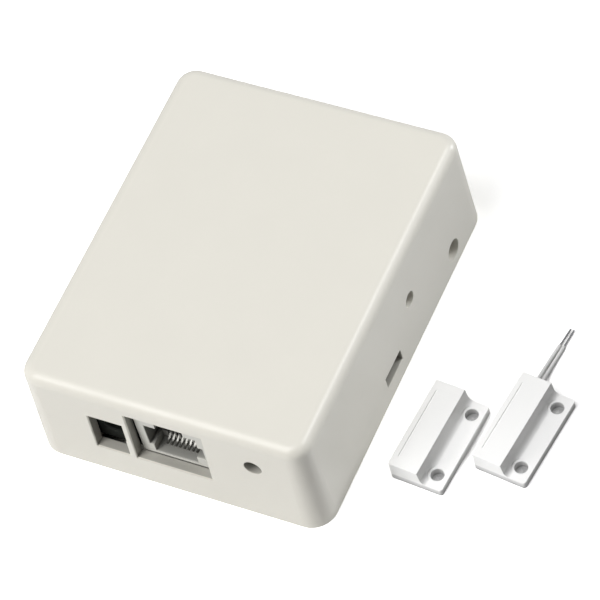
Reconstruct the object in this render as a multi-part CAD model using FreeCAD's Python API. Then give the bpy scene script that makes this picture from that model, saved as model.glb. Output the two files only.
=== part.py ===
import FreeCAD, Part
import math
import os

# Door sensor: a wall hub with a power socket and a network socket, and beside it the two halves
# of a surface magnetic contact. Millimetres. +Z is up, -Y is the side with the sockets, and the
# origin is the centre of the hub's underside.

V = FreeCAD.Vector
UP = V(0, 0, 1)
BACK = V(0, 1, 0)
RIGHT = V(1, 0, 0)
past = 1.0  # how far a cutting tool runs past the face that it opens

# Housing
height = 28.2
top_width = 67.0
top_depth = 85.5
draft_angle = 2.2
corner_radius = 4.4
top_edge_radius = 2.6
wall = 2.4
roof = 2.2
rim_wall = 1.2
base_thickness = 2.0
base_gap = 0.15
seat_gap = 0.3
opening_bevel = 0.25

# Screw bosses and screws
boss_radius = 3.25
boss_inset = 6.0
boss_web = 1.4
web_drop = 7.0
screw_radius = 1.25
screw_head_radius = 2.3
screw_head_height = 1.3
screw_fit = 0.06
base_screw_length = 11.0
board_screw_length = 6.0
head_slot_width = 0.6
head_slot_depth = 0.5
head_slot_length = 2.6
counterbore_radius = 2.7
counterbore_depth = 1.4

# Keyholes in the base plate
keyhole_spacing = 50.0
keyhole_radius = 3.9
keyhole_slot_radius = 1.9
keyhole_slot_length = 6.0

# Main board
standoff_height = 5.4
standoff_radius = 2.8
board_thickness = 1.2
board_gap = 0.7
board_front_gap = 1.3
wiring_bay = 20.0
boss_notch = 0.6
standoff_inset = 4.6
front_standoff = 10.5

# Network socket
jack_width = 16.4
jack_height = 15.0
jack_depth = 18.0
jack_x = 0.1
jack_gap_left = 0.55
jack_gap_right = 1.0
jack_gap_below = 0.3
jack_gap_above = 0.4
jack_lip = 0.8
channel_width = 10.1
channel_height = 2.4
channel_depth = 11.4
plug_width = 12.2
plug_height = 7.2
plug_depth = 12.5
mouth_flare = 1.2
mouth_flare_height = 4.2
mouth_depth = 1.2
latch_width = 6.6
latch_height = 2.9
latch_depth = 9.0
comb_set_back = 4.0
comb_base = 0.25
comb_drop = 0.2
tooth_width = 0.4
contact_count = 8
contact_pitch = 1.016
contact_width = 0.4
contact_thickness = 0.3
contact_set_back = 2.1
contact_foot = 1.1
contact_reach = 6.0
contact_rise = 3.6

# Power socket
power_x = -14.2
power_width = 9.0
power_height = 11.0
power_depth = 14.0
power_opening = 8.0
power_gap_below = 0.2
power_bore_radius = 3.15
power_bore_height = 6.5
power_bore_depth = 9.5
power_pin_radius = 1.0
power_pin_set_back = 1.0
power_spring_width = 2.6
power_spring_thickness = 0.3
power_spring_bow = 0.6

# USB socket under the board
usb_y = -4.93
usb_width = 7.5
usb_height = 2.7
usb_depth = 5.6
usb_sheet = 0.35
usb_corner = 0.8
usb_opening_width = 7.95
usb_opening_height = 3.3
usb_tongue_width = 4.6
usb_tongue_height = 0.7
usb_tongue_depth = 3.6

# Status light
led_from_boss = 7.0
led_height = 9.9
led_radius = 1.5
led_flange_radius = 1.9
led_flange_height = 1.0
led_length = 5.3
led_hole_radius = 2.05
led_holder_half = 2.6
led_holder_length = 4.6
led_lead = 0.5
led_lead_pitch = 2.54
slide_fit = 0.05

# Reset switch
reset_from_rear = 35.13
reset_height = 6.15
reset_hole_radius = 1.85
reset_size = 6.0
reset_body_depth = 3.4
reset_plate = 0.3
reset_stem_radius = 1.5
reset_stem_length = 3.3
reset_flange_radius = 2.1
reset_flange_height = 0.7
reset_travel = 0.25
reset_dome_height = 0.4
reset_dome_thickness = 0.12
reset_tip_in_hole = 0.7
reset_leg_width = 2.2

# Cable entry and terminal block
cable_from_rear = 14.95
cable_above_base = 3.25
cable_hole_radius = 2.55
terminal_x = 10.0
terminal_pitch = 5.0
terminal_depth = 8.2
terminal_height = 10.0
terminal_edge = 0.4
clamp_width = 3.2
clamp_height = 4.0
clamp_depth = 3.6
clamp_window = 2.0
clamp_gap = 0.1
terminal_screw_radius = 1.4
terminal_head_radius = 1.7
terminal_head_height = 1.5

# Small parts on the board
row_gap = 2.4
pin_reach = 1.0
pin_thickness = 0.2
transformer_size = (12.7, 7.0, 5.6)
transformer_pins = 8
transformer_pin_pitch = 1.5
transformer_pin_width = 0.5
controller_side = 10.0
controller_height = 1.4
controller_pins = 11
controller_pin_pitch = 0.8
controller_pin_width = 0.35
flash_size = (5.2, 5.2, 1.8)
crystal_size = (4.6, 11.2, 3.4)
regulator_size = (6.5, 3.5, 1.6)
inductor_side = 7.3
inductor_height = 4.2
capacitor_radii = (3.15, 4.0)
capacitor_heights = (7.0, 9.6)
capacitor_base_height = 0.9
capacitor_base_margin = 0.15

# Magnetic contact, both halves
contact_length = 22.6
contact_breadth = 12.4
contact_tall = 5.5
flange_thickness = 2.0
raised_width = 7.0
wall_lean = 0.5
case_corner = 0.6
case_edge = 0.3
root_radius = 1.4
hole_radius = 1.5
hole_from_edge = 2.6
hole_spacing = 16.0
spot_radius = 2.1
groove_from_edge = 1.45
groove_width = 0.3
groove_depth = 0.15
groove_length = 17.6
case_wall = 1.1
case_roof = 1.2
potting_gap = 0.05
potting_recess = 0.3
magnet_clearance = 0.5
bar_width = 3.0
bar_height = 2.6
bar_length = 16.0
tube_radius = 1.1
tube_wall = 0.3
tube_length = 12.0
blade_width = 0.9
blade_thickness = 0.14
blade_overlap = 1.4
blade_gap = 0.1
blade_tail = 1.4

# Short leads of the reed half
lead_radius = 0.45
core_radius = 0.2
lead_spacing = 1.15
lead_from_edge = 3.0
lead_height = 1.6
lead_inside = 2.0
core_inside = 1.3
lead_straight = 2.2
lead_fall = 4.8
lead_flat = 9.2
lead_swing = -0.4
lead_drift = -0.25
lead_close = 0.35
lead_bare = 4.6
lead_hole_fit = 0.1
lead_floor_gap = 0.06

# Where the two halves stand, and how far each is turned
magnet_from_hub = 14.4
magnet_y = -15.95
magnet_turn = -4.5
reed_from_magnet = 16.47
reed_y = -8.65
reed_turn = -6.6

# Places worked out from the sizes above
slope = math.tan(math.radians(draft_angle))


def half_width(z, inset=0.0):
    """Half the width of the drafted housing at height z."""
    return top_width / 2 + slope * (height - z) - inset


def half_depth(z, inset=0.0):
    """Half the depth of the drafted housing at height z."""
    return top_depth / 2 + slope * (height - z) - inset


board_bottom = base_thickness + standoff_height
board_top = board_bottom + board_thickness
board_half = half_width(board_top, wall) - board_gap
board_front = -half_depth(board_top, wall) + board_front_gap
board_rear = half_depth(board_top, wall) - wiring_bay
boss_x = top_width / 2 - boss_inset
boss_y = top_depth / 2 - boss_inset
standoff_x = board_half - standoff_inset
standoff_rows = (-boss_y + front_standoff, board_rear - standoff_inset)
jack_face = -half_depth(board_top, wall)
jack_back = jack_face + jack_depth
jack_floor = board_top + jack_lip
plug_floor = jack_floor + channel_height
plug_ceiling = plug_floor + plug_height
power_face = -half_depth(board_top + power_height, wall) + seat_gap
power_back = power_face + power_depth
power_axis = board_top + power_bore_height
usb_face = half_width(board_bottom, wall) - seat_gap
usb_z = board_bottom - usb_height / 2
led_x = boss_x - led_from_boss
led_z = board_top + led_height
led_tip = -half_depth(led_z, wall) + seat_gap
reset_y = top_depth / 2 - reset_from_rear
reset_z = board_top + reset_height
reset_tip = half_width(reset_z, wall) + reset_tip_in_hole
reset_face = reset_tip - reset_stem_length - reset_plate
reset_pocket_depth = reset_flange_height + reset_travel + slide_fit + reset_dome_height
cable_y = top_depth / 2 - cable_from_rear
cable_z = base_thickness + cable_above_base
row_start = jack_back + row_gap
magnet_x = half_width(0) + magnet_from_hub
reed_x = magnet_x + reed_from_magnet


# Shape helpers
def box(x0, x1, y0, y1, z0, z1):
    """A box between two corners."""
    return Part.makeBox(x1 - x0, y1 - y0, z1 - z0, V(x0, y0, z0))


def rod(radius, start, direction, length):
    """A cylinder from a point along a direction."""
    return Part.makeCylinder(radius, length, start, direction)


def rounded_wire(x0, x1, y0, y1, radius, z):
    """A rectangle with round corners, drawn at height z."""
    centres = (
        (x1 - radius, y1 - radius, 0),
        (x0 + radius, y1 - radius, 90),
        (x0 + radius, y0 + radius, 180),
        (x1 - radius, y0 + radius, 270),
    )
    arcs = [Part.makeCircle(radius, V(x, y, z), UP, turn, turn + 90) for x, y, turn in centres]
    edges = []
    for arc, following in zip(arcs, arcs[1:] + arcs[:1]):
        edges.append(arc)
        edges.append(Part.makeLine(arc.lastVertex().Point, following.firstVertex().Point))
    return Part.Wire(edges)


def slab(x0, x1, y0, y1, radius, z0, z1):
    """A plate with round corners."""
    return Part.Face(rounded_wire(x0, x1, y0, y1, radius, z0)).extrude(V(0, 0, z1 - z0))


def drafted(inset, z0, z1):
    """The housing's tapered outline, drawn in by an inset, between two heights."""
    wires = []
    for z in (z0, z1):
        x = half_width(z, inset)
        y = half_depth(z, inset)
        radius = corner_radius + slope * (height - z) - inset
        wires.append(rounded_wire(-x, x, -y, y, radius, z))
    return Part.makeLoft(wires, True, True)


def polygon(points, direction):
    """A closed outline, swept straight along a direction."""
    return Part.Face(Part.makePolygon(points + points[:1])).extrude(direction)


def rounded_path(points):
    """Straight runs joined by arcs as large as the shorter run at each corner allows."""
    points = [V(*point) for point in points]
    edges = []
    start = points[0]
    for before, corner, after in zip(points, points[1:], points[2:]):
        into = (corner - before).normalize()
        out = (after - corner).normalize()
        trim = 0.45 * min((corner - before).Length, (after - corner).Length)
        arc_start = corner - into * trim
        arc_end = corner + out * trim
        half_turn = into.getAngle(out) / 2
        bulge = trim * (1 / math.cos(half_turn) - 1) / math.tan(half_turn)
        middle = corner + (out - into).normalize() * bulge
        edges.append(Part.makeLine(start, arc_start))
        edges.append(Part.Arc(arc_start, middle, arc_end).toShape())
        start = arc_end
    edges.append(Part.makeLine(start, points[-1]))
    return Part.Wire(edges)


def swept(profile, path):
    """A closed profile swept along a path of runs and arcs."""
    return path.makePipeShell([profile], True, True)


def strip(points, thickness, width):
    """A bent flat spring of constant section, its path in a plane square to X."""
    start = V(*points[0])
    along = (V(*points[1]) - start).normalize()
    side = along.cross(RIGHT).normalize() * (thickness / 2)
    across = RIGHT * (width / 2)
    corners = [start + side + across, start - side + across, start - side - across, start + side - across]
    return swept(Part.makePolygon(corners + corners[:1]), rounded_path(points))


def corners_of(x, y):
    """The four places at plus and minus x and y."""
    return [(sx * x, sy * y) for sx in (-1, 1) for sy in (-1, 1)]


def centred(count, pitch):
    """Evenly spaced offsets about zero."""
    return [(index - (count - 1) / 2) * pitch for index in range(count)]


def save(name, shapes):
    """Write one node, a single solid or a group of them."""
    solids = [solid for shape in shapes for solid in shape.Solids]
    node = solids[0] if len(solids) == 1 else Part.makeCompound(solids)
    node.exportStep("parts/" + name + ".step")


# Housing
def rounded_top(body):
    """Round the edge all round the top face."""
    top_edges = [edge for edge in body.Edges if edge.BoundBox.ZMin > height - seat_gap]
    return body.makeFillet(top_edge_radius, top_edges)


def boss(x, y):
    """A screw boss with two webs that tie it to the side and end walls."""
    ceiling = height - roof + past / 2
    post = rod(boss_radius, V(x, y, base_thickness), UP, ceiling - base_thickness)
    web_bottom = height - roof - web_drop
    side = math.copysign(half_width(web_bottom, wall / 2), x)
    end = math.copysign(half_depth(web_bottom, wall / 2), y)
    half = boss_web / 2
    to_side = box(min(x, side), max(x, side), y - half, y + half, web_bottom, ceiling)
    to_end = box(x - half, x + half, min(y, end), max(y, end), web_bottom, ceiling)
    return post.fuse([to_side, to_end])


def bevelled_opening(x0, x1, z0, z1):
    """A rectangular way through the front wall, with a small bevel at its outer edge."""
    outer = -half_depth(0)
    inner = jack_face + wall
    way = box(x0, x1, outer - past, inner, z0, z1)
    low = -half_depth(z0)
    high = -half_depth(z1)
    b = opening_bevel
    wide = Part.makePolygon([
        V(x0 - b, low, z0 - b), V(x1 + b, low, z0 - b), V(x1 + b, high, z1 + b), V(x0 - b, high, z1 + b),
        V(x0 - b, low, z0 - b)])
    narrow = Part.makePolygon([
        V(x0, low + b, z0), V(x1, low + b, z0), V(x1, high + b, z1), V(x0, high + b, z1), V(x0, low + b, z0)])
    return way.fuse(Part.makeLoft([wide, narrow], True, True))


def front_openings():
    """Ways through the front wall for the power socket, the network socket and the light."""
    power = bevelled_opening(
        power_x - power_opening / 2, power_x + power_opening / 2,
        board_top - power_gap_below, board_top + power_height)
    network = bevelled_opening(
        jack_x - jack_width / 2 - jack_gap_left, jack_x + jack_width / 2 + jack_gap_right,
        board_top - jack_gap_below, board_top + jack_height + jack_gap_above)
    light = rod(led_hole_radius, V(led_x, -half_depth(0) - past, led_z), BACK, 2 * wall + past)
    return [power, network, light]


def side_openings():
    """Ways through the right wall for the USB socket, the reset button and the contact's cable."""
    inner = half_width(0) - 2 * wall
    outer = half_width(0) + past
    usb = box(
        inner, outer, usb_y - usb_opening_width / 2, usb_y + usb_opening_width / 2,
        usb_z - usb_opening_height / 2, usb_z + usb_opening_height / 2)
    reset = rod(reset_hole_radius, V(inner, reset_y, reset_z), RIGHT, outer - inner)
    cable = rod(cable_hole_radius, V(inner, cable_y, cable_z), RIGHT, outer - inner)
    return [usb, reset, cable]


def top_cover():
    """The drafted cover: walls, roof, rim for the base plate, bosses and openings."""
    shell = rounded_top(drafted(0, 0, height))
    shell = shell.cut([drafted(wall, -past, height - roof), drafted(rim_wall, -past, base_thickness)])
    shell = shell.fuse([boss(x, y) for x, y in corners_of(boss_x, boss_y)])
    pilots = [
        rod(screw_radius + screw_fit, V(x, y, base_thickness - past), UP, base_screw_length + 2 * past)
        for x, y in corners_of(boss_x, boss_y)]
    return shell.cut(pilots + front_openings() + side_openings())


def keyhole(y):
    """A round entry and a narrow slot above it, so the hub hangs on a screw head."""
    entry = rod(keyhole_radius, V(0, y, -past), UP, base_thickness + 2 * past)
    end = rod(keyhole_slot_radius, V(0, y + keyhole_slot_length, -past), UP, base_thickness + 2 * past)
    slot = box(-keyhole_slot_radius, keyhole_slot_radius, y, y + keyhole_slot_length, -past, base_thickness + past)
    return entry.fuse([end, slot])


def base_plate():
    """The plate that closes the underside and carries the board on four standoffs."""
    plate = drafted(rim_wall + base_gap, 0, base_thickness)
    posts = [
        rod(standoff_radius, V(side * standoff_x, y, base_thickness / 2), UP, board_bottom - base_thickness / 2)
        for side in (-1, 1) for y in standoff_rows]
    plate = plate.fuse(posts)
    cuts = [keyhole(side * keyhole_spacing / 2) for side in (-1, 1)]
    for x, y in corners_of(boss_x, boss_y):
        cuts.append(rod(screw_radius + seat_gap, V(x, y, -past), UP, base_thickness + 2 * past))
        cuts.append(rod(counterbore_radius, V(x, y, -past), UP, counterbore_depth + past))
    for side in (-1, 1):
        for y in standoff_rows:
            depth = board_screw_length - board_thickness + seat_gap
            cuts.append(rod(screw_radius + screw_fit, V(side * standoff_x, y, board_bottom - depth), UP, depth + past))
    return plate.cut(cuts)


def screw(x, y, seat, direction, length):
    """A pan-head screw with a cross recess, its head seated at a height."""
    shank = rod(screw_radius, V(x, y, seat), direction, length)
    head = rod(screw_head_radius, V(x, y, seat), direction * -1, screw_head_height)
    rim = [edge for edge in head.Edges if abs(edge.BoundBox.ZMin - seat) > seat_gap and edge.Closed]
    head = head.makeFillet(screw_head_height / 3, rim)
    crown = seat - direction.z * screw_head_height
    low = min(crown, crown + direction.z * head_slot_depth)
    half = head_slot_length / 2
    arm = head_slot_width / 2
    cross = [
        box(x - half, x + half, y - arm, y + arm, low, low + head_slot_depth),
        box(x - arm, x + arm, y - half, y + half, low, low + head_slot_depth)]
    return head.fuse(shank).cut(cross)


def base_screws():
    """Four screws, up through the base plate into the cover's bosses."""
    return [screw(x, y, counterbore_depth, UP, base_screw_length) for x, y in corners_of(boss_x, boss_y)]


def board_screws():
    """Four screws, down through the board into the standoffs."""
    places = [(side * standoff_x, y) for side in (-1, 1) for y in standoff_rows]
    return [screw(x, y, board_top, UP * -1, board_screw_length) for x, y in places]


def main_board():
    """The board, notched round the front bosses and drilled for its screws."""
    board = box(-board_half, board_half, board_front, board_rear, board_bottom, board_top)
    reach = boss_radius + boss_notch
    cuts = []
    for side in (-1, 1):
        inner = side * (boss_x - reach)
        outer = side * (board_half + past)
        edge = -boss_y + reach
        cuts.append(slab(
            min(inner, outer), max(inner, outer), board_front - past, edge, boss_notch, board_bottom - past,
            board_top + past))
        for y in standoff_rows:
            cuts.append(rod(screw_radius + seat_gap / 2, V(side * standoff_x, y, board_bottom - past), UP,
                            board_thickness + 2 * past))
    return board.cut(cuts)


# Network socket
def jack_room(width, front, depth, z0, z1):
    """A straight room in the socket's body, centred on it and measured from its face."""
    return box(jack_x - width / 2, jack_x + width / 2, jack_face + front, jack_face + depth, z0, z1)


def mouth_flare_cut():
    """The bevelled lead-in at the right of the socket's mouth."""
    edge = jack_x + plug_width / 2
    z = plug_floor
    return polygon(
        [V(edge - past, jack_face, z), V(edge + mouth_flare, jack_face, z),
         V(edge, jack_face + mouth_depth, z), V(edge - past, jack_face + mouth_depth, z)],
        UP * mouth_flare_height)


def network_jack():
    """The socket's body: a channel for the springs, the plug's room above it and the latch slot at the top."""
    body = slab(
        jack_x - jack_width / 2, jack_x + jack_width / 2, jack_face, jack_back, opening_bevel,
        board_top, board_top + jack_height)
    plug = jack_room(plug_width, -past, plug_depth, plug_floor, plug_ceiling)
    channel = jack_room(channel_width, -past, channel_depth, jack_floor, plug_floor + past)
    latch = jack_room(latch_width, -past, latch_depth, plug_ceiling - past, plug_ceiling + latch_height)
    return body.cut([plug, channel, latch, mouth_flare_cut()])


def network_comb():
    """The carrier that keeps the springs apart: a base in the channel with a tooth between neighbours."""
    top = plug_floor - comb_drop
    block = jack_room(channel_width - 2 * slide_fit, comb_set_back, channel_depth - slide_fit, jack_floor, top)
    half = (contact_pitch - tooth_width) / 2
    slots = [
        box(jack_x + x - half, jack_x + x + half, jack_face, jack_back, jack_floor + comb_base, top + past)
        for x in centred(contact_count, contact_pitch)]
    return block.cut(slots)


def network_contacts():
    """Eight springs that lie on the channel's floor at the front and rise between the teeth to the back."""
    start = jack_face + contact_set_back
    bend = start + contact_foot
    level = jack_floor + contact_thickness / 2
    springs = []
    for x in centred(contact_count, contact_pitch):
        points = [
            (jack_x + x, start, level), (jack_x + x, bend, level),
            (jack_x + x, bend + contact_reach, level + contact_rise)]
        springs.append(strip(points, contact_thickness, contact_width))
    return springs


# Power socket
def power_jack():
    """The socket's body with its round bore, a rim at the mouth and a slot for the side spring."""
    left = power_x - power_width / 2
    right = power_x + power_width / 2
    body = slab(left, right, power_face, power_back, opening_bevel, board_top, board_top + power_height)
    centre = V(power_x, power_face - past, power_axis)
    bore = rod(power_bore_radius, centre, BACK, power_bore_depth + past)
    lead_in = Part.makeCone(
        power_bore_radius + opening_bevel, power_bore_radius, opening_bevel, V(power_x, power_face, power_axis), BACK)
    pin_seat = rod(
        power_pin_radius + slide_fit, V(power_x, power_face, power_axis), BACK, power_bore_depth + 2 * past)
    return body.cut([bore, lead_in, pin_seat, power_spring_slot()])


def power_spring_slot():
    """The slot under the bore where the side spring lies."""
    half = power_spring_width / 2 + slide_fit
    floor = power_axis - power_bore_radius - 2 * power_spring_thickness
    return box(
        power_x - half, power_x + half, power_face + 2 * past, power_face + power_bore_depth, floor, power_axis - past)


def power_jack_pin():
    """The centre pin, held in the back of the bore."""
    start = power_face + power_pin_set_back
    length = power_bore_depth + 2 * past - power_pin_set_back
    pin = rod(power_pin_radius, V(power_x, start, power_axis), BACK, length)
    tip = [edge for edge in pin.Edges if edge.Closed and edge.BoundBox.YMax < start + seat_gap]
    return pin.makeFillet(power_pin_radius / 2, tip)


def power_jack_spring():
    """The side contact, a bowed strip in the slot under the pin."""
    front = power_face + 2 * past + slide_fit
    back = power_face + power_bore_depth - slide_fit
    floor = power_axis - power_bore_radius - 1.5 * power_spring_thickness + slide_fit
    middle = (front + back) / 2
    points = [
        (power_x, back, floor), (power_x, middle + power_spring_width / 2, floor + power_spring_bow),
        (power_x, middle - power_spring_width / 2, floor + power_spring_bow), (power_x, front, floor)]
    return strip(points, power_spring_thickness, power_spring_width)


# USB socket
def usb_outline(inset, x):
    """The shell's outline, with its two lower corners cut off."""
    half = usb_width / 2 - inset
    low = board_bottom - usb_height + inset
    high = board_bottom - inset
    c = usb_corner
    return [
        V(x, usb_y - half, high), V(x, usb_y + half, high), V(x, usb_y + half, low + c),
        V(x, usb_y + half - c, low), V(x, usb_y - half + c, low), V(x, usb_y - half, low + c)]


def usb_shell():
    """The folded steel shell, hung under the board's right edge."""
    back = usb_face - usb_depth
    outer = polygon(usb_outline(0, back), RIGHT * usb_depth)
    inner = polygon(usb_outline(usb_sheet, back - past), RIGHT * (usb_depth + 2 * past))
    return outer.cut(inner)


def usb_tongue():
    """The plastic block and tongue inside the shell."""
    back = usb_face - usb_depth
    block_depth = usb_depth - usb_tongue_depth - usb_sheet
    block = polygon(usb_outline(usb_sheet + slide_fit, back), RIGHT * block_depth)
    half = usb_tongue_width / 2
    tongue = box(
        back + block_depth - usb_sheet, back + block_depth + usb_tongue_depth, usb_y - half, usb_y + half,
        usb_z - usb_tongue_height / 2, usb_z + usb_tongue_height / 2)
    return block.fuse(tongue)


# Status light
def status_led():
    """A round lamp with a domed end, lying on its side behind the hole."""
    dome_centre = led_tip + led_radius
    dome = Part.makeSphere(led_radius, V(led_x, dome_centre, led_z))
    barrel = rod(led_radius, V(led_x, dome_centre, led_z), BACK, led_length - led_radius)
    flange = rod(
        led_flange_radius, V(led_x, led_tip + led_length - led_flange_height, led_z), BACK, led_flange_height)
    return dome.fuse([barrel, flange])


def led_holder():
    """The block that holds the lamp above the board, open at the back for its leads."""
    back = led_tip + led_length
    front = back - led_holder_length
    h = led_holder_half
    block = box(led_x - h, led_x + h, front, back, board_top, led_z + h)
    bore = rod(led_radius + slide_fit, V(led_x, front - past, led_z), BACK, led_holder_length + 2 * past)
    seat = rod(
        led_flange_radius + slide_fit, V(led_x, back - led_flange_height - slide_fit, led_z), BACK,
        led_flange_height + past)
    return block.cut([bore, seat])


def led_leads():
    """Two square leads, back from the lamp and down to the board."""
    start = led_tip + led_length
    half = led_lead / 2
    leads = []
    for x in centred(2, led_lead_pitch):
        across = box(
            led_x + x - half, led_x + x + half, start, start + 3 * led_lead, led_z - half, led_z + half)
        down = box(
            led_x + x - half, led_x + x + half, start + 2 * led_lead, start + 3 * led_lead, board_top, led_z + half)
        leads.append(across.fuse(down).removeSplitter())
    return leads


# Reset switch
def reset_switch():
    """The switch body, with the pocket that the plunger's flange moves in."""
    half = reset_size / 2
    body = box(
        reset_face - reset_body_depth, reset_face, reset_y - half, reset_y + half, reset_z - half, reset_z + half)
    pocket = rod(
        reset_flange_radius + seat_gap, V(reset_face - reset_pocket_depth, reset_y, reset_z), RIGHT,
        reset_pocket_depth + past)
    return body.cut(pocket)


def reset_dome():
    """The dished steel disc that clicks under the plunger and pushes it back."""
    bottom = reset_face - reset_pocket_depth
    sphere_radius = (reset_flange_radius ** 2 + reset_dome_height ** 2) / (2 * reset_dome_height)
    centre = V(bottom + reset_dome_height - sphere_radius, reset_y, reset_z)
    outer = Part.makeSphere(sphere_radius, centre)
    inner = Part.makeSphere(sphere_radius - reset_dome_thickness, centre)
    kept = rod(reset_flange_radius + past, V(bottom, reset_y, reset_z), RIGHT, 2 * reset_dome_height)
    return outer.cut(inner).common(kept)


def reset_frame():
    """The steel frame that closes the switch and stands it on the board."""
    half = reset_size / 2
    plate = box(
        reset_face, reset_face + reset_plate, reset_y - half - reset_plate, reset_y + half + reset_plate,
        reset_z - half, reset_z + half)
    hole = rod(reset_stem_radius + slide_fit, V(reset_face - past, reset_y, reset_z), RIGHT, 3 * past)
    legs = []
    for side in (-1, 1):
        inner = reset_y + side * half
        outer = inner + side * reset_plate
        legs.append(box(
            reset_face - reset_leg_width, reset_face + reset_plate, min(inner, outer), max(inner, outer),
            board_top, reset_z + half))
    return plate.fuse(legs).cut(hole).removeSplitter()


def reset_plunger():
    """The button: a stem with a flange that keeps it in the switch."""
    flange_start = reset_face - reset_flange_height
    flange = rod(reset_flange_radius, V(flange_start, reset_y, reset_z), RIGHT, reset_flange_height)
    stem = rod(reset_stem_radius, V(flange_start, reset_y, reset_z), RIGHT, reset_tip - flange_start)
    tip = [edge for edge in stem.Edges if edge.Closed and edge.BoundBox.XMin > reset_tip - seat_gap]
    return stem.makeFillet(reset_stem_radius / 5, tip).fuse(flange)


# Terminal block
def terminal_back():
    """The rear face of the terminal block, where the wires go in."""
    return board_rear - terminal_edge


def terminal_block():
    """A two-way block: a wire chamber at the back and a screw well from the top for each way."""
    half = terminal_pitch
    back = terminal_back()
    body = box(
        terminal_x - half, terminal_x + half, back - terminal_depth, back, board_top, board_top + terminal_height)
    sloped = polygon(
        [V(terminal_x - half - past, back - terminal_depth, board_top + terminal_height * 0.7),
         V(terminal_x - half - past, back - terminal_depth, board_top + terminal_height),
         V(terminal_x - half - past, back - terminal_depth * 0.75, board_top + terminal_height)],
        RIGHT * (2 * half + 2 * past))
    cuts = [sloped]
    room = clamp_width / 2 + clamp_gap
    for x in centred(2, terminal_pitch):
        cuts.append(box(
            terminal_x + x - room, terminal_x + x + room, back - clamp_depth - 2 * past, back + past,
            board_top + past, board_top + past + clamp_height + clamp_gap))
        cuts.append(rod(
            terminal_head_radius + clamp_gap, V(terminal_x + x, terminal_axis(), board_top + past), UP,
            terminal_height))
    return body.cut(cuts)


def terminal_axis():
    """The line of the clamping screws."""
    return terminal_back() - past - clamp_depth / 2


def terminal_clamps():
    """Two steel cages that the wires go through."""
    clamps = []
    for x in centred(2, terminal_pitch):
        centre = terminal_x + x
        cage = box(
            centre - clamp_width / 2, centre + clamp_width / 2, terminal_axis() - clamp_depth / 2,
            terminal_axis() + clamp_depth / 2, board_top + past, board_top + past + clamp_height)
        window = box(
            centre - clamp_window / 2, centre + clamp_window / 2, terminal_axis() - clamp_depth,
            terminal_axis() + clamp_depth, board_top + past + clamp_gap * 5,
            board_top + past + clamp_gap * 5 + clamp_window)
        hole = rod(
            terminal_screw_radius + screw_fit, V(centre, terminal_axis(), board_top + past + clamp_window), UP,
            clamp_height)
        clamps.append(cage.cut([window, hole]))
    return clamps


def terminal_screws():
    """Two slotted screws that close the clamps."""
    screws = []
    tip = board_top + past + clamp_gap * 5 + clamp_window
    crown = board_top + terminal_height - head_slot_depth
    for x in centred(2, terminal_pitch):
        centre = terminal_x + x
        shank = rod(terminal_screw_radius, V(centre, terminal_axis(), tip), UP, crown - terminal_head_height - tip)
        head = rod(
            terminal_head_radius, V(centre, terminal_axis(), crown - terminal_head_height), UP, terminal_head_height)
        arm = head_slot_width / 2
        slot = box(
            centre - 2 * terminal_head_radius, centre + 2 * terminal_head_radius, terminal_axis() - arm,
            terminal_axis() + arm, crown - head_slot_depth, crown)
        screws.append(shank.fuse(head).cut(slot))
    return screws


# Small parts on the board
def block_on_board(x, y, size):
    """A rectangular part with its centre at x and y."""
    return box(x - size[0] / 2, x + size[0] / 2, y - size[1] / 2, y + size[1] / 2, board_top, board_top + size[2])


def pin_pair(x, near, far, width, rise):
    """One bent pin along Y: a foot on the board and a riser against the part."""
    low = min(near, far)
    high = max(near, far)
    foot = box(x - width / 2, x + width / 2, low, high, board_top, board_top + pin_thickness)
    riser_far = near + math.copysign(pin_thickness, far - near)
    riser = box(
        x - width / 2, x + width / 2, min(near, riser_far), max(near, riser_far), board_top, board_top + rise)
    return foot.fuse(riser).removeSplitter()


transformer_y = row_start + transformer_size[1] / 2
controller_y = row_start + transformer_size[1] + row_gap + pin_reach + controller_side / 2


def network_transformer():
    """The isolating transformer behind the socket."""
    return block_on_board(jack_x, transformer_y, transformer_size)


def transformer_pin_group():
    """Pins along both long sides of the transformer."""
    pins = []
    for side in (-1, 1):
        near = transformer_y + side * transformer_size[1] / 2
        for x in centred(transformer_pins, transformer_pin_pitch):
            pins.append(pin_pair(
                jack_x + x, near, near + side * pin_reach, transformer_pin_width, transformer_size[2] / 3))
    return pins


def controller():
    """The controller, a square flat package."""
    return block_on_board(jack_x, controller_y, (controller_side, controller_side, controller_height))


def controller_pin_group():
    """Pins on all four sides of the controller."""
    pins = []
    for quarter in range(4):
        for x in centred(controller_pins, controller_pin_pitch):
            near = controller_side / 2
            pin = pin_pair(x, near, near + pin_reach, controller_pin_width, controller_height / 2)
            pin.rotate(V(0, 0, 0), UP, 90 * quarter)
            pin.translate(V(jack_x, controller_y, 0))
            pins.append(pin)
    return pins


def flash_memory():
    """A small memory chip left of the terminal block."""
    x = terminal_x - terminal_pitch - flash_size[0] - row_gap
    return block_on_board(x, terminal_back() - terminal_depth, flash_size)


def crystal():
    """A crystal in a can with round ends, right of the controller."""
    x = jack_x + controller_side / 2 + pin_reach + row_gap + crystal_size[0] / 2
    half_x = crystal_size[0] / 2
    half_y = crystal_size[1] / 2
    radius = half_x * 0.98
    return slab(
        x - half_x, x + half_x, controller_y - half_y, controller_y + half_y, radius,
        board_top, board_top + crystal_size[2])


def regulator():
    """The voltage regulator behind the power socket, with its tab and three feet."""
    y = power_back + row_gap + regulator_size[1] / 2
    body = block_on_board(power_x, y, regulator_size)
    tab = block_on_board(power_x, y + regulator_size[1] / 2, (regulator_size[0] / 2, 2 * pin_reach, pin_thickness))
    feet = [
        block_on_board(power_x + x, y - regulator_size[1] / 2, (2 * pin_thickness * 2, 2 * pin_reach, pin_thickness))
        for x in centred(3, regulator_size[0] / 3)]
    return body.fuse([tab] + feet)


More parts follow.
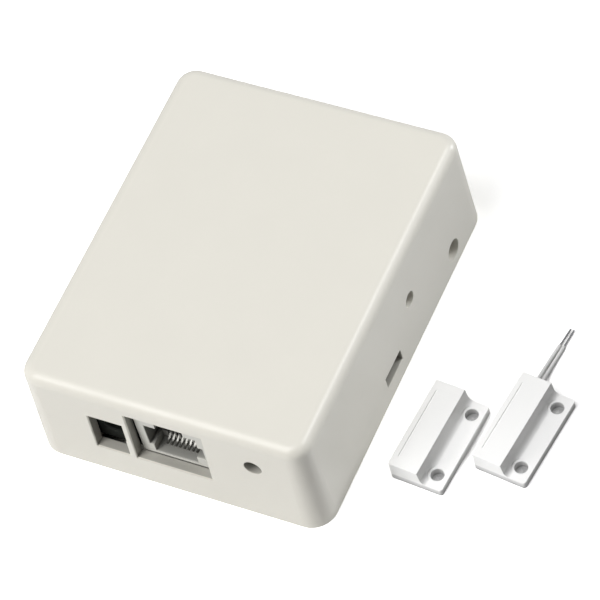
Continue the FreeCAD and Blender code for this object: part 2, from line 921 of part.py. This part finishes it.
def inductor():
    """The power inductor, a rounded square with a round drum in its top."""
    y = power_back + 2 * row_gap + regulator_size[1] + pin_reach + inductor_side / 2
    half = inductor_side / 2
    body = slab(
        power_x - half, power_x + half, y - half, y + half, half / 3, board_top, board_top + inductor_height)
    top = board_top + inductor_height
    ring = rod(half * 0.85, V(power_x, y, top - seat_gap), UP, past)
    drum = rod(half * 0.65, V(power_x, y, top - 2 * seat_gap), UP, 2 * seat_gap)
    return body.cut(ring).fuse(drum)


def capacitor_places():
    """The line of the two capacitors, beside the regulator."""
    x = power_x - inductor_side / 2 - row_gap - max(capacitor_radii)
    first = standoff_rows[0] + screw_head_radius + row_gap + capacitor_radii[0]
    second = first + capacitor_radii[0] + row_gap + capacitor_radii[1]
    return ((x, first), (x, second))


def capacitors():
    """Two upright capacitors with a rolled groove near the bottom."""
    cans = []
    for (x, y), radius, tall in zip(capacitor_places(), capacitor_radii, capacitor_heights):
        bottom = board_top + capacitor_base_height
        can = rod(radius, V(x, y, bottom), UP, tall)
        can = can.makeFillet(radius / 8, [edge for edge in can.Edges if edge.BoundBox.ZMin > bottom + tall / 2])
        groove = Part.makeTorus(radius + radius / 8, radius / 5, V(x, y, bottom + tall / 5), UP)
        cans.append(can.cut(groove))
    return cans


def capacitor_bases():
    """The square plastic bases that the capacitors stand on."""
    bases = []
    for (x, y), radius in zip(capacitor_places(), capacitor_radii):
        side = 2 * (radius + capacitor_base_margin)
        bases.append(block_on_board(x, y, (side, side, capacitor_base_height)))
    return bases


# Magnetic contact. Both halves are drawn about their own centre, with the raised part on the left.
left_edge = -contact_breadth / 2
raised_edge = left_edge + raised_width
hole_x = contact_breadth / 2 - hole_from_edge
pocket_middle = left_edge + raised_width / 2
pocket_half = raised_width / 2 - case_wall
pocket_end = contact_length / 2 - case_wall
pocket_top = contact_tall - case_roof
tube_z = potting_recess + magnet_clearance + bar_height / 2
tube_x = pocket_middle


def placed(shape, x, y, turn):
    """Turn a half about its own centre and stand it in its place."""
    shape.rotate(V(0, 0, 0), UP, turn)
    shape.translate(V(x, y, 0))
    return shape


def contact_case():
    """The moulded case: raised part, flange, hollow root between them, and flat places at the holes."""
    start = -contact_length / 2
    foot = raised_edge + wall_lean
    lean = math.atan2(wall_lean, contact_tall - flange_thickness)
    half_turn = math.pi / 4 + lean / 2
    tangent = root_radius / math.tan(half_turn)
    middle = root_radius / math.sin(half_turn) - root_radius
    e = case_edge
    m = case_edge * (1 - math.sqrt(0.5))

    def at(x, z):
        return V(x, start, z)

    edges = [
        Part.makeLine(at(left_edge, 0), at(-left_edge, 0)),
        Part.makeLine(at(-left_edge, 0), at(-left_edge, flange_thickness)),
        Part.makeLine(at(-left_edge, flange_thickness), at(foot + tangent, flange_thickness)),
        Part.Arc(
            at(foot + tangent, flange_thickness),
            at(foot + middle * math.cos(half_turn), flange_thickness + middle * math.sin(half_turn)),
            at(foot - tangent * math.sin(lean), flange_thickness + tangent * math.cos(lean))).toShape(),
        Part.makeLine(
            at(foot - tangent * math.sin(lean), flange_thickness + tangent * math.cos(lean)),
            at(raised_edge, contact_tall)),
        Part.makeLine(at(raised_edge, contact_tall), at(left_edge + e, contact_tall)),
        Part.Arc(at(left_edge + e, contact_tall), at(left_edge + m, contact_tall - m),
                 at(left_edge, contact_tall - e)).toShape(),
        Part.makeLine(at(left_edge, contact_tall - e), at(left_edge, 0)),
    ]
    body = Part.Face(Part.Wire(edges)).extrude(BACK * contact_length)
    outline = slab(
        left_edge, -left_edge, start, -start, case_corner, -past, contact_tall + past)
    cuts = [box(
        pocket_middle - pocket_half, pocket_middle + pocket_half, -pocket_end, pocket_end, -past, pocket_top)]
    for y in centred(2, hole_spacing):
        cuts.append(rod(spot_radius, V(hole_x, y, flange_thickness), UP, contact_tall))
        cuts.append(rod(hole_radius, V(hole_x, y, -past), UP, contact_tall + 2 * past))
    groove = left_edge + groove_from_edge
    cuts.append(box(
        groove - groove_width / 2, groove + groove_width / 2, -groove_length / 2, groove_length / 2,
        contact_tall - groove_depth, contact_tall + past))
    return body.common(outline).cut(cuts)


def potting():
    """The filling of a case's pocket, a little above the case's underside."""
    gap = potting_gap
    return box(
        pocket_middle - pocket_half + gap, pocket_middle + pocket_half - gap, -pocket_end + gap,
        pocket_end - gap, potting_recess, pocket_top - gap)


def magnet_parts():
    """The magnet half: case, bar magnet and filling."""
    half = bar_width / 2
    bottom = potting_recess + magnet_clearance
    bar = box(
        pocket_middle - half, pocket_middle + half, -bar_length / 2, bar_length / 2, bottom, bottom + bar_height)
    gap = potting_gap
    room = box(
        pocket_middle - half - gap, pocket_middle + half + gap, -bar_length / 2 - gap, bar_length / 2 + gap,
        bottom - gap, bottom + bar_height + gap)
    return {"magnet_case": [contact_case()], "bar_magnet": [bar], "magnet_potting": [potting().cut(room)]}


def glass_tube(radius, length):
    """A round tube with domed ends, lying along the case."""
    straight = length - 2 * radius
    barrel = rod(radius, V(tube_x, -straight / 2, tube_z), BACK, straight)
    ends = [Part.makeSphere(radius, V(tube_x, side * straight / 2, tube_z)) for side in (-1, 1)]
    return barrel.fuse(ends)


def blade(side, grow=0.0):
    """One reed: a flat strip from outside the glass to just past the middle."""
    half = blade_width / 2 + grow
    thick = blade_thickness / 2 + grow
    inner = -side * blade_overlap / 2
    outer = side * (tube_length / 2 + blade_tail)
    level = tube_z + side * (blade_thickness + blade_gap) / 2
    return box(
        tube_x - half, tube_x + half, min(inner, outer), max(inner, outer), level - thick, level + thick)


def lead_points(side):
    """The route of one lead: out of the case, down to the surface and along it."""
    x = lead_x(side)
    wall_end = contact_length / 2
    rest = lead_radius + lead_floor_gap
    landing = wall_end + lead_straight + lead_fall
    return [
        (x, wall_end - lead_inside - core_inside, lead_height),
        (x, wall_end + lead_straight, lead_height),
        (x + lead_swing, landing, rest),
        (x + lead_drift - side * lead_close / 2, landing + lead_flat, rest)]


def lead_x(side):
    """How far across the case one lead comes out."""
    return left_edge + lead_from_edge + side * lead_spacing / 2


def lead(side, radius):
    """A round wire along a lead's route."""
    points = lead_points(side)
    ring = Part.Wire(Part.makeCircle(radius, V(*points[0]), BACK))
    return swept(ring, rounded_path(points))


def jacket(side, core):
    """A lead's insulation, stripped back at both ends."""
    tube = lead(side, lead_radius)
    first = lead_points(side)[0][1] + core_inside
    last = lead_points(side)[-1][1] - lead_bare
    kept = box(left_edge, -left_edge, first, last, -past, contact_tall)
    return tube.common(kept).cut(core)


def reed_parts():
    """The reed half: case, glass tube, two reeds, filling and two short leads."""
    sides = (-1, 1)
    hollow = glass_tube(tube_radius - tube_wall, tube_length - 4 * tube_wall)
    tube = glass_tube(tube_radius, tube_length).cut([hollow] + [blade(side, slide_fit / 5) for side in sides])
    blades = [blade(side) for side in sides]
    cores = [lead(side, core_radius) for side in sides]
    jackets = [jacket(side, core) for side, core in zip(sides, cores)]
    exits = [
        rod(lead_radius + lead_hole_fit, V(lead_x(side), pocket_end - past, lead_height), BACK, case_wall + 2 * past)
        for side in sides]
    rooms = [glass_tube(tube_radius + potting_gap, tube_length + 2 * potting_gap)]
    rooms += [blade(side, potting_gap) for side in sides]
    rooms += [
        rod(lead_radius + potting_gap,
            V(lead_x(side), contact_length / 2 - lead_inside - core_inside - potting_gap, lead_height), BACK,
            contact_length)
        for side in sides]
    return {
        "reed_case": [contact_case().cut(exits)],
        "reed_tube": [tube],
        "reed_blades": blades,
        "reed_potting": [potting().cut(rooms)],
        "reed_leads": jackets,
        "lead_wires": cores,
    }


# Write every node
def hub_parts():
    """Every node of the hub by name."""
    return {
        "top_cover": [top_cover()],
        "base_plate": [base_plate()],
        "base_screws": base_screws(),
        "main_board": [main_board()],
        "board_screws": board_screws(),
        "network_jack": [network_jack()],
        "network_comb": [network_comb()],
        "network_contacts": network_contacts(),
        "power_jack": [power_jack()],
        "power_jack_pin": [power_jack_pin()],
        "power_jack_spring": [power_jack_spring()],
        "usb_shell": [usb_shell()],
        "usb_tongue": [usb_tongue()],
        "status_led": [status_led()],
        "led_holder": [led_holder()],
        "led_leads": led_leads(),
        "reset_switch": [reset_switch()],
        "reset_dome": [reset_dome()],
        "reset_frame": [reset_frame()],
        "reset_plunger": [reset_plunger()],
        "terminal_block": [terminal_block()],
        "terminal_clamps": terminal_clamps(),
        "terminal_screws": terminal_screws(),
        "network_transformer": [network_transformer()],
        "transformer_pins": transformer_pin_group(),
        "controller": [controller()],
        "controller_pins": controller_pin_group(),
        "flash_memory": [flash_memory()],
        "crystal": [crystal()],
        "regulator": [regulator()],
        "inductor": [inductor()],
        "capacitors": capacitors(),
        "capacitor_bases": capacitor_bases(),
    }


os.makedirs("parts", exist_ok=True)
for name, shapes in hub_parts().items():
    save(name, shapes)
for name, shapes in magnet_parts().items():
    save(name, [placed(shape, magnet_x, magnet_y, magnet_turn) for shape in shapes])
for name, shapes in reed_parts().items():
    save(name, [placed(shape, reed_x, reed_y, reed_turn) for shape in shapes])
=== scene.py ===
import bmesh
import bpy
from mathutils import Matrix, Vector

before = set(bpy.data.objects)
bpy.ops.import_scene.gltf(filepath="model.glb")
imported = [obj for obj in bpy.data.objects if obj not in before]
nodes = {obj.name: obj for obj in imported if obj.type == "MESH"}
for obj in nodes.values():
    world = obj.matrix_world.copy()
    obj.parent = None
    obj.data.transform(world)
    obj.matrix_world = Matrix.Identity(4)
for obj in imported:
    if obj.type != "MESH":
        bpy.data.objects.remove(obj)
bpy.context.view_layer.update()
scene = bpy.context.scene

MM = 0.001


# Colour and material helpers
def linear(rgb):
    """A colour as it looks on screen, 0 to 255, turned into the shader's own numbers."""
    out = []
    for value in rgb:
        share = value / 255
        out.append(share / 12.92 if share <= 0.04045 else ((share + 0.055) / 1.055) ** 2.4)
    return (*out, 1.0)


def shaded(colour, share):
    """A colour made lighter or darker by a share."""
    return tuple(min(1.0, c * (1 + share)) for c in colour[:3]) + (1.0,)


class Shader:
    """A material's node tree with short calls for the nodes it needs."""

    def __init__(self, name):
        self.material = bpy.data.materials.new(name)
        self.material.use_nodes = True
        self.tree = self.material.node_tree
        self.bsdf = self.tree.nodes["Principled BSDF"]
        self.place = self.add("ShaderNodeTexCoord").outputs["Object"]

    def add(self, kind, **values):
        node = self.tree.nodes.new(kind)
        for key, value in values.items():
            setattr(node, key, value)
        return node

    def link(self, source, target):
        self.tree.links.new(source, target)

    def set(self, **values):
        """Uniform values, each on the shader's own socket."""
        for key, value in values.items():
            self.bsdf.inputs[key.replace("_", " ")].default_value = value

    def noise(self, size, detail=3.0, rough=0.55, stretch=None):
        """Noise whose features are about size millimetres across."""
        node = self.add("ShaderNodeTexNoise")
        node.inputs["Scale"].default_value = 1 / (size * MM)
        node.inputs["Detail"].default_value = detail
        node.inputs["Roughness"].default_value = rough
        if stretch:
            mapping = self.add("ShaderNodeMapping")
            mapping.inputs["Scale"].default_value = stretch
            self.link(self.place, mapping.inputs["Vector"])
            self.link(mapping.outputs["Vector"], node.inputs["Vector"])
        else:
            self.link(self.place, node.inputs["Vector"])
        return node.outputs["Fac"]

    def ramp(self, source, stops):
        """A colour ramp with (position, rgba) stops."""
        node = self.add("ShaderNodeValToRGB")
        elements = node.color_ramp.elements
        while len(elements) < len(stops):
            elements.new(0.5)
        for element, (position, colour) in zip(elements, stops):
            element.position = position
            element.color = colour
        self.link(source, node.inputs["Fac"])
        return node.outputs["Color"]

    def span(self, source, low, high, start=0.0, end=1.0):
        """A value mapped from start..end to low..high."""
        node = self.add("ShaderNodeMapRange")
        node.inputs["From Min"].default_value = start
        node.inputs["From Max"].default_value = end
        node.inputs["To Min"].default_value = low
        node.inputs["To Max"].default_value = high
        self.link(source, node.inputs["Value"])
        return node.outputs["Result"]

    def mix(self, share, first, second):
        """Two colours mixed by a share from a socket."""
        node = self.add("ShaderNodeMix", data_type="RGBA")
        self.link(share, node.inputs["Factor"])
        for socket, colour in ((node.inputs[6], first), (node.inputs[7], second)):
            if isinstance(colour, bpy.types.NodeSocket):
                self.link(colour, socket)
            else:
                socket.default_value = colour
        return node.outputs[2]

    def window(self, middle, half):
        """1 inside the box of some half sizes about a middle, in millimetres, and 0 outside it."""
        axes = self.add("ShaderNodeSeparateXYZ")
        self.link(self.place, axes.inputs["Vector"])
        inside = None
        for axis, centre, reach in zip("XYZ", middle, half):
            within = self.add("ShaderNodeMath", operation="COMPARE")
            self.link(axes.outputs[axis], within.inputs[0])
            within.inputs[1].default_value = centre * MM
            within.inputs[2].default_value = reach * MM
            if inside:
                both = self.add("ShaderNodeMath", operation="MULTIPLY")
                self.link(inside, both.inputs[0])
                self.link(within.outputs[0], both.inputs[1])
                within = both
            inside = within.outputs[0]
        return inside

    def painted_depth_shade(self, colour, inward, plane, stops, middle=None, half=None):
        """Painted shade: a colour taken down with the depth behind a plane, all in millimetres, in place of
        the shade inside openings.

        The direction inward is square to the plane, and plane is how far along it the plane lies.
        The stops are (depth, share kept); a share above 1 is a painted highlight. With a middle and half
        sizes, only that box is touched.
        """
        depth = self.add("ShaderNodeVectorMath", operation="DOT_PRODUCT")
        self.link(self.place, depth.inputs[0])
        depth.inputs[1].default_value = inward
        deepest = stops[-1][0]
        share = self.span(depth.outputs["Value"], 0.0, 1.0, plane * MM, (plane + deepest) * MM)
        kept = self.ramp(share, [(at / deepest, (value, value, value, 1)) for at, value in stops])
        dark = self.add("ShaderNodeMix", data_type="RGBA", blend_type="MULTIPLY")
        dark.inputs["Factor"].default_value = 1.0
        self.link(colour, dark.inputs[6])
        self.link(kept, dark.inputs[7])
        if middle:
            self.link(self.window(middle, half), dark.inputs["Factor"])
        return dark.outputs[2]

    def bump(self, *layers, edge=None):
        """Layers of (height socket, depth in millimetres), over edges softened by a radius of edge."""
        normal = None
        if edge:
            soft = self.add("ShaderNodeBevel", samples=6)
            soft.inputs["Radius"].default_value = edge * MM
            normal = soft.outputs["Normal"]
        for height, depth in layers:
            node = self.add("ShaderNodeBump")
            node.inputs["Strength"].default_value = 1.0
            node.inputs["Distance"].default_value = depth * MM
            self.link(height, node.inputs["Height"])
            if normal:
                self.link(normal, node.inputs["Normal"])
            normal = node.outputs["Normal"]
        self.link(normal, self.bsdf.inputs["Normal"])


# Noise sizes that every moulded piece shares, in millimetres, and how much larger than its grain
# the specks of tone are
PATCH_SIZE = 14
GLOSS_SIZE = 9
WAVE_SIZE = 11
SPECK_PER_GRAIN = 2.2


def moulded(name, rgb, rough=0.45, grain=0.25, grain_depth=0.006, wave_depth=0.02, patch=0.02,
            edge=0.1, painted_depth_shades=(), **extra):
    """Moulded plastic: a fine spark-eroded grain, slow waves, faint patches of tone and gloss, and painted
    shade by depth where given.
    """
    s = Shader(name)
    colour = linear(rgb)
    patches = s.noise(PATCH_SIZE, 2.0)
    specks = s.noise(grain * SPECK_PER_GRAIN, 2.0)
    tone = s.ramp(patches, [(0.3, shaded(colour, -patch)), (0.7, shaded(colour, patch))])
    fine = s.mix(s.span(specks, 0.0, 0.35, 0.35, 0.65), tone, shaded(colour, -1.5 * patch))
    # painted shade: the colour darkened with depth where light would not reach, with a painted rim
    # highlight where a stop is above 1
    for painted_depth_shade in painted_depth_shades:
        fine = s.painted_depth_shade(fine, *painted_depth_shade)
    s.link(fine, s.bsdf.inputs["Base Color"])
    gloss = s.span(s.noise(GLOSS_SIZE, 3.0), rough - 0.05, rough + 0.05, 0.3, 0.7)
    s.link(gloss, s.bsdf.inputs["Roughness"])
    s.bump((s.noise(WAVE_SIZE, 1.5), wave_depth), (s.noise(grain, 2.0), grain_depth), edge=edge)
    s.set(IOR=1.48, **extra)
    return s.material


# Noise sizes of the metals, in millimetres
STAIN_SIZE = 2.5
SCRATCH_SIZE = 0.6


def metal(name, rgb, rough=0.28, brushed=(1, 1, 1), stain=0.06, depth=0.004):
    """Plated or drawn metal: faint stains and fine scratches, which brushed draws out along an axis."""
    s = Shader(name)
    colour = linear(rgb)
    stains = s.noise(STAIN_SIZE, 4.0)
    tone = s.ramp(stains, [(0.3, shaded(colour, -stain)), (0.75, shaded(colour, stain / 2))])
    s.link(tone, s.bsdf.inputs["Base Color"])
    scratches = s.noise(SCRATCH_SIZE, 3.0, stretch=brushed)
    s.link(s.span(scratches, rough - 0.08, rough + 0.1, 0.3, 0.7), s.bsdf.inputs["Roughness"])
    s.bump((scratches, depth))
    s.set(Metallic=1.0)
    return s.material


# The board's pattern, in cells to the metre
WEAVE_SCALE = 420
TRACK_SCALE = 260


def board_lacquer():
    """Black lacquer over woven glass, with copper tracks that show as paler lines."""
    s = Shader("board_lacquer")
    lacquer = linear((22, 27, 24))
    track = linear((40, 47, 42))
    weave = s.add("ShaderNodeTexBrick", offset=0.5)
    weave.inputs["Scale"].default_value = WEAVE_SCALE
    weave.inputs["Mortar Size"].default_value = 0.03
    weave.inputs["Color1"].default_value = (0.45, 0.45, 0.45, 1)
    weave.inputs["Color2"].default_value = (0.55, 0.55, 0.55, 1)
    s.link(s.place, weave.inputs["Vector"])
    cells = s.add("ShaderNodeTexVoronoi", distance="MANHATTAN", feature="DISTANCE_TO_EDGE")
    cells.inputs["Scale"].default_value = TRACK_SCALE
    s.link(s.place, cells.inputs["Vector"])
    lines = s.span(cells.outputs["Distance"], 1.0, 0.0, 0.04, 0.09)
    s.link(s.mix(lines, lacquer, track), s.bsdf.inputs["Base Color"])
    s.link(s.span(s.noise(3), 0.22, 0.34, 0.3, 0.7), s.bsdf.inputs["Roughness"])
    s.bump((weave.outputs["Color"], 0.01), (lines, 0.03))
    s.set(Coat_Weight=0.5)
    return s.material


def clear_resin(name, rgb, transmission, rough):
    """Cast resin or glass that lets light in, with faint flow lines."""
    s = Shader(name)
    colour = linear(rgb)
    tone = s.ramp(s.noise(1.2), [(0.3, shaded(colour, -0.03)), (0.7, colour)])
    s.link(tone, s.bsdf.inputs["Base Color"])
    s.link(s.span(s.noise(0.8), rough - 0.02, rough + 0.06, 0.3, 0.7), s.bsdf.inputs["Roughness"])
    s.bump((s.noise(2.0), 0.01))
    s.set(Transmission_Weight=transmission, IOR=1.5)
    return s.material


# Painted shade that the colours take on with depth, in place of the shade inside openings and low on the
# contact cases, given as the arguments of the depth-shade method.
# The hub's front and right faces lean back by the draft, and their planes are given at floor level.
DRAFT = -0.0384
FRONT_FACE = (0, 1, DRAFT), -43.83
RIGHT_FACE = (-1, 0, DRAFT), -34.58
JACK_FACE = (0, 1, 0), -41.1
COMB_FACE = (0, 1, 0), -37.1
FLANGE_TOP = (0, 0, -1), -1.9

# Painted highlight on a thin rim just inside the front socket openings, then painted shade deeper in
SOCKET_RIM_HIGHLIGHT_AND_SHADE = (
    *FRONT_FACE, [(0.03, 1.0), (0.07, 1.12), (0.24, 1.12), (0.34, 0.58), (2.4, 0.54)],
    (-4.65, -42.2, 16.2), (14.4, 1.9, 8.3))
# Painted shade on the network opening's left wall
NETWORK_LEFT_WALL_SHADE = (
    *FRONT_FACE, [(0.3, 1.0), (0.4, 0.74), (2.4, 0.7)],
    (-8.6, -42.2, 16.2), (0.4, 1.9, 8.3))
# Painted shade inside the status light's hole
LIGHT_HOLE_SHADE = (
    *FRONT_FACE, [(0.05, 1.0), (0.3, 0.62), (2.4, 0.42)],
    (20.6, -42.2, 18.9), (2.5, 1.9, 2.6))
# Painted shade inside the USB slot on the right face
USB_SLOT_SHADE = (
    *RIGHT_FACE, [(0.05, 1.0), (0.3, 0.6), (2.4, 0.42)],
    (33.3, -4.93, 6.05), (1.9, 4.4, 2.1))
# Painted shade deeper into the network jack's plug room
JACK_ROOM_SHADE = (*JACK_FACE, [(0.05, 1.0), (0.4, 0.58), (5.0, 0.25)])
# Painted shade on the left wall of the network jack's plug room
JACK_LEFT_WALL_SHADE = (
    *JACK_FACE, [(0.1, 1.0), (0.3, 0.55), (5.0, 0.5)],
    (-5.95, -36.0, 15.4), (0.3, 5.2, 4.5))
# Painted shade deep into the contact comb behind its face
COMB_ROOM_SHADE = (*COMB_FACE, [(0.05, 1.0), (0.3, 0.3), (2.0, 0.08)])
# Painted shade on the contact cases, darker towards the floor below the flange top: on the flange sides, in
# the screw holes and at the walls' feet
CONTACT_LOW_SHADE = (*FLANGE_TOP, [(0.1, 1.0), (0.35, 0.78), (1.4, 0.56), (1.9, 0.36)])

materials = {
    "housing": moulded(
        "housing", (226, 223, 213), rough=0.38, grain=0.3, grain_depth=0.004, wave_depth=0.015,
        patch=0.008, edge=0.15, Coat_Weight=0.35, Coat_Roughness=0.25,
        painted_depth_shades=(SOCKET_RIM_HIGHLIGHT_AND_SHADE, NETWORK_LEFT_WALL_SHADE, LIGHT_HOLE_SHADE, USB_SLOT_SHADE)),
    "base": moulded("base", (224, 221, 211), rough=0.5, grain=0.3, grain_depth=0.012, patch=0.015),
    "socket_pale": moulded("socket_pale", (208, 207, 200), rough=0.4, patch=0.01,
                           painted_depth_shades=(JACK_ROOM_SHADE, JACK_LEFT_WALL_SHADE)),
    "socket_black": moulded("socket_black", (19, 21, 18), rough=0.6, patch=0.08,
                            Specular_IOR_Level=0.15),
    "comb": moulded("comb", (150, 149, 143), rough=0.5, patch=0.04, painted_depth_shades=(COMB_ROOM_SHADE,)),
    "tongue": moulded("tongue", (38, 38, 36), rough=0.5, patch=0.08),
    "chip": moulded("chip", (34, 34, 36), rough=0.62, grain=0.12, patch=0.1),
    "ferrite": moulded("ferrite", (62, 62, 64), rough=0.7, grain=0.2, patch=0.12),
    "terminal": moulded("terminal", (40, 128, 70), rough=0.4, patch=0.05),
    "contact_white": moulded(
        "contact_white", (253, 253, 252), rough=0.35, grain=0.3, grain_depth=0.002,
        wave_depth=0.008, patch=0.003, edge=0.12, painted_depth_shades=(CONTACT_LOW_SHADE,)),
    "filling": moulded("filling", (224, 224, 219), rough=0.35, wave_depth=0.12, patch=0.03),
    "jacket": moulded("jacket", (228, 228, 227), rough=0.38, grain=0.2, wave_depth=0.01,
                      patch=0.01, edge=None),
    "board": board_lacquer(),
    "screw": metal("screw", (178, 178, 180), rough=0.32),
    "plated": metal("plated", (214, 212, 204), rough=0.22),
    "spring": metal("spring", (156, 155, 150), rough=0.42),
    "sheet": metal("sheet", (196, 196, 196), rough=0.3, brushed=(8, 0.6, 0.6)),
    "can": metal("can", (206, 206, 208), rough=0.25, brushed=(0.6, 0.6, 6)),
    "magnet": metal("magnet", (120, 120, 122), rough=0.45, stain=0.2, depth=0.02),
    "strands": metal("strands", (122, 122, 124), rough=0.5, stain=0.03, depth=0.001),
    "lamp": clear_resin("lamp", (222, 226, 214), 0.55, 0.28),
    "glass": clear_resin("glass", (196, 224, 206), 0.92, 0.05),
}

looks = {
    "top_cover": "housing", "base_plate": "base", "base_screws": "screw", "main_board": "board",
    "board_screws": "screw", "network_jack": "socket_pale", "network_comb": "comb",
    "network_contacts": "spring", "power_jack": "socket_black", "power_jack_pin": "plated",
    "power_jack_spring": "plated", "usb_shell": "sheet", "usb_tongue": "tongue",
    "status_led": "lamp", "led_holder": "socket_black", "led_leads": "plated",
    "reset_switch": "socket_black", "reset_dome": "sheet", "reset_frame": "sheet",
    "reset_plunger": "socket_black", "terminal_block": "terminal", "terminal_clamps": "sheet",
    "terminal_screws": "screw", "network_transformer": "chip", "transformer_pins": "plated",
    "controller": "chip", "controller_pins": "plated", "flash_memory": "chip", "crystal": "can",
    "regulator": "chip", "inductor": "ferrite", "capacitors": "can", "capacitor_bases": "chip",
    "magnet_case": "contact_white", "bar_magnet": "magnet", "magnet_potting": "filling",
    "reed_case": "contact_white", "reed_tube": "glass", "reed_blades": "plated",
    "reed_potting": "filling", "reed_leads": "jacket", "lead_wires": "strands",
}
for node, look in looks.items():
    nodes[node].data.materials.clear()
    nodes[node].data.materials.append(materials[look])


# Floor and surroundings
FLOOR_REACH = 0.32          # half the floor's side, in metres
FLOOR_MATT = 0.6            # the floor's tone for the light that it passes on
FLOOR_LIFT = 1.9            # its tone for the camera, which sees the open floor white
MIRRORED_FLOOR = 1.1        # its tone for mirrors and glass
# Painted shade on the floor for the camera: where ambient occlusion finds it hemmed in, as inside the
# contact cases' screw holes, its tone is taken down
CORNER_SHADE_REACH = 6            # how far about a point cover is looked for, in millimetres
CORNER_SHADE_OPEN = (0.38, 0.5)   # openness at which the floor is darkest, and at which it is open
CORNER_SHADE_SHARE = 0.295        # the share of the lift that is left where the floor is darkest
DIM_WORLD = 0.02            # strength of the light that the surroundings send to the part


def seen_directly(tree):
    """A socket that is 1 for what the camera, a mirror or glass sees, and 0 for passed-on light."""
    path = tree.nodes.new("ShaderNodeLightPath")
    share = path.outputs["Is Camera Ray"]
    for kind in ("Is Glossy Ray", "Is Transmission Ray"):
        either = tree.nodes.new("ShaderNodeMath")
        either.operation = "MAXIMUM"
        tree.links.new(share, either.inputs[0])
        tree.links.new(path.outputs[kind], either.inputs[1])
        share = either.outputs[0]
    return share


def matt(tree, level):
    """A matt surface of a grey level, which is a number or a socket."""
    node = tree.nodes.new("ShaderNodeBsdfDiffuse")
    if isinstance(level, bpy.types.NodeSocket):
        tree.links.new(level, node.inputs["Color"])
    else:
        node.inputs["Color"].default_value = (level, level, level, 1)
    return node.outputs["BSDF"]


def layered(tree, share, under, over):
    """Two surfaces mixed by a share from a socket."""
    node = tree.nodes.new("ShaderNodeMixShader")
    tree.links.new(share, node.inputs["Fac"])
    tree.links.new(under, node.inputs[1])
    tree.links.new(over, node.inputs[2])
    return node.outputs["Shader"]


def floor():
    """A pale plane that carries the shadows, with a tone of its own for each kind of ray, and painted shade
    for the camera where it is hemmed in.
    """
    mesh = bpy.data.meshes.new("floor")
    shape = bmesh.new()
    bmesh.ops.create_grid(shape, x_segments=1, y_segments=1, size=FLOOR_REACH)
    shape.to_mesh(mesh)
    shape.free()
    plane = bpy.data.objects.new("floor", mesh)
    scene.collection.objects.link(plane)
    material = bpy.data.materials.new("floor")
    material.use_nodes = True
    tree = material.node_tree
    tree.nodes.remove(tree.nodes["Principled BSDF"])
    # painted shade: the cover found about each point takes the camera's tone of the floor down
    corner = tree.nodes.new("ShaderNodeAmbientOcclusion")
    corner.inputs["Distance"].default_value = CORNER_SHADE_REACH * MM
    lift = tree.nodes.new("ShaderNodeMapRange")
    lift.inputs["From Min"].default_value, lift.inputs["From Max"].default_value = CORNER_SHADE_OPEN
    lift.inputs["To Min"].default_value = CORNER_SHADE_SHARE * FLOOR_LIFT
    lift.inputs["To Max"].default_value = FLOOR_LIFT
    tree.links.new(corner.outputs["AO"], lift.inputs["Value"])
    camera_ray = tree.nodes.new("ShaderNodeLightPath").outputs["Is Camera Ray"]
    surface = layered(tree, seen_directly(tree), matt(tree, FLOOR_MATT), matt(tree, MIRRORED_FLOOR))
    surface = layered(tree, camera_ray, surface, matt(tree, lift.outputs["Result"]))
    tree.links.new(surface, tree.nodes["Material Output"].inputs["Surface"])
    mesh.materials.append(material)
    return plane


def surroundings(strength):
    """An even world of low light; what the camera, mirrors and glass see of it is white."""
    world = bpy.data.worlds.new("surroundings")
    scene.world = world
    world.use_nodes = True
    tree = world.node_tree
    background = tree.nodes["Background"]
    background.inputs["Color"].default_value = (1, 1, 1, 1)
    level = tree.nodes.new("ShaderNodeMapRange")
    level.inputs["To Min"].default_value = strength
    level.inputs["To Max"].default_value = 1.0
    tree.links.new(seen_directly(tree), level.inputs["Value"])
    tree.links.new(level.outputs["Result"], background.inputs["Strength"])


ground = floor()
surroundings(DIM_WORLD)


# Lights
AIM = Vector((0.02, 0, 0.02))


def lamp(name, place, size, power, pieces, tint=(1, 1, 1), mirrored=True):
    """A soft light that faces the part and reaches only some pieces; unmirrored, no reflection shows it."""
    light = bpy.data.lights.new(name, "AREA")
    light.shape = "RECTANGLE"
    light.size, light.size_y = size
    light.energy = power
    light.color = tint
    lamp_object = bpy.data.objects.new(name, light)
    scene.collection.objects.link(lamp_object)
    lamp_object.location = place
    facing = AIM - Vector(place)
    lamp_object.rotation_euler = facing.to_track_quat("-Z", "Y").to_euler()
    lamp_object.visible_glossy = mirrored
    lit = bpy.data.collections.new(name + "_reach")
    for piece in pieces:
        lit.objects.link(piece)
    lamp_object.light_linking.receiver_collection = lit


everything = [piece for piece in bpy.data.objects if piece.type == "MESH"]
contact_looks = ("contact_white", "filling", "jacket", "strands")
contact_pieces = [piece for node, piece in nodes.items() if looks[node] in contact_looks]
hub_pieces = [piece for node, piece in nodes.items() if looks[node] not in contact_looks]
lamp("over", (-0.27, -0.5, 0.95), (0.55, 1.0), 7.15, everything)
lamp("crest", (0.4, 0.42, 0.85), (0.6, 0.25), 3.6, hub_pieces + [ground])
lamp("low", (-0.75, -1.0, 0.45), (0.6, 0.3), 8.9, everything, mirrored=False)
lamp("rear", (0.7, 0.83, 0.42), (0.16, 0.5), 5.2, hub_pieces, tint=(0.97, 1.0, 1.04))
lamp("contact", (-0.25, 0.1, 1.05), (0.5, 0.5), 4.6, contact_pieces)

# The camera, fitted to the hub's edges in the photo
camera_data = bpy.data.cameras.new("camera")
camera_data.sensor_width = 36
camera_data.lens = 222.015
camera_data.clip_start = 0.05
camera_data.clip_end = 10
camera = bpy.data.objects.new("camera", camera_data)
scene.collection.objects.link(camera)
camera.matrix_world = Matrix((
    (0.90045828, -0.25108016, 0.35515298, 0.29267553),
    (0.40054524, 0.79696161, -0.45212355, -0.35781132),
    (-0.16952404, 0.54937323, 0.81819964, 0.66282553),
    (0, 0, 0, 1)))
scene.camera = camera
scene.view_settings.view_transform = "Standard"
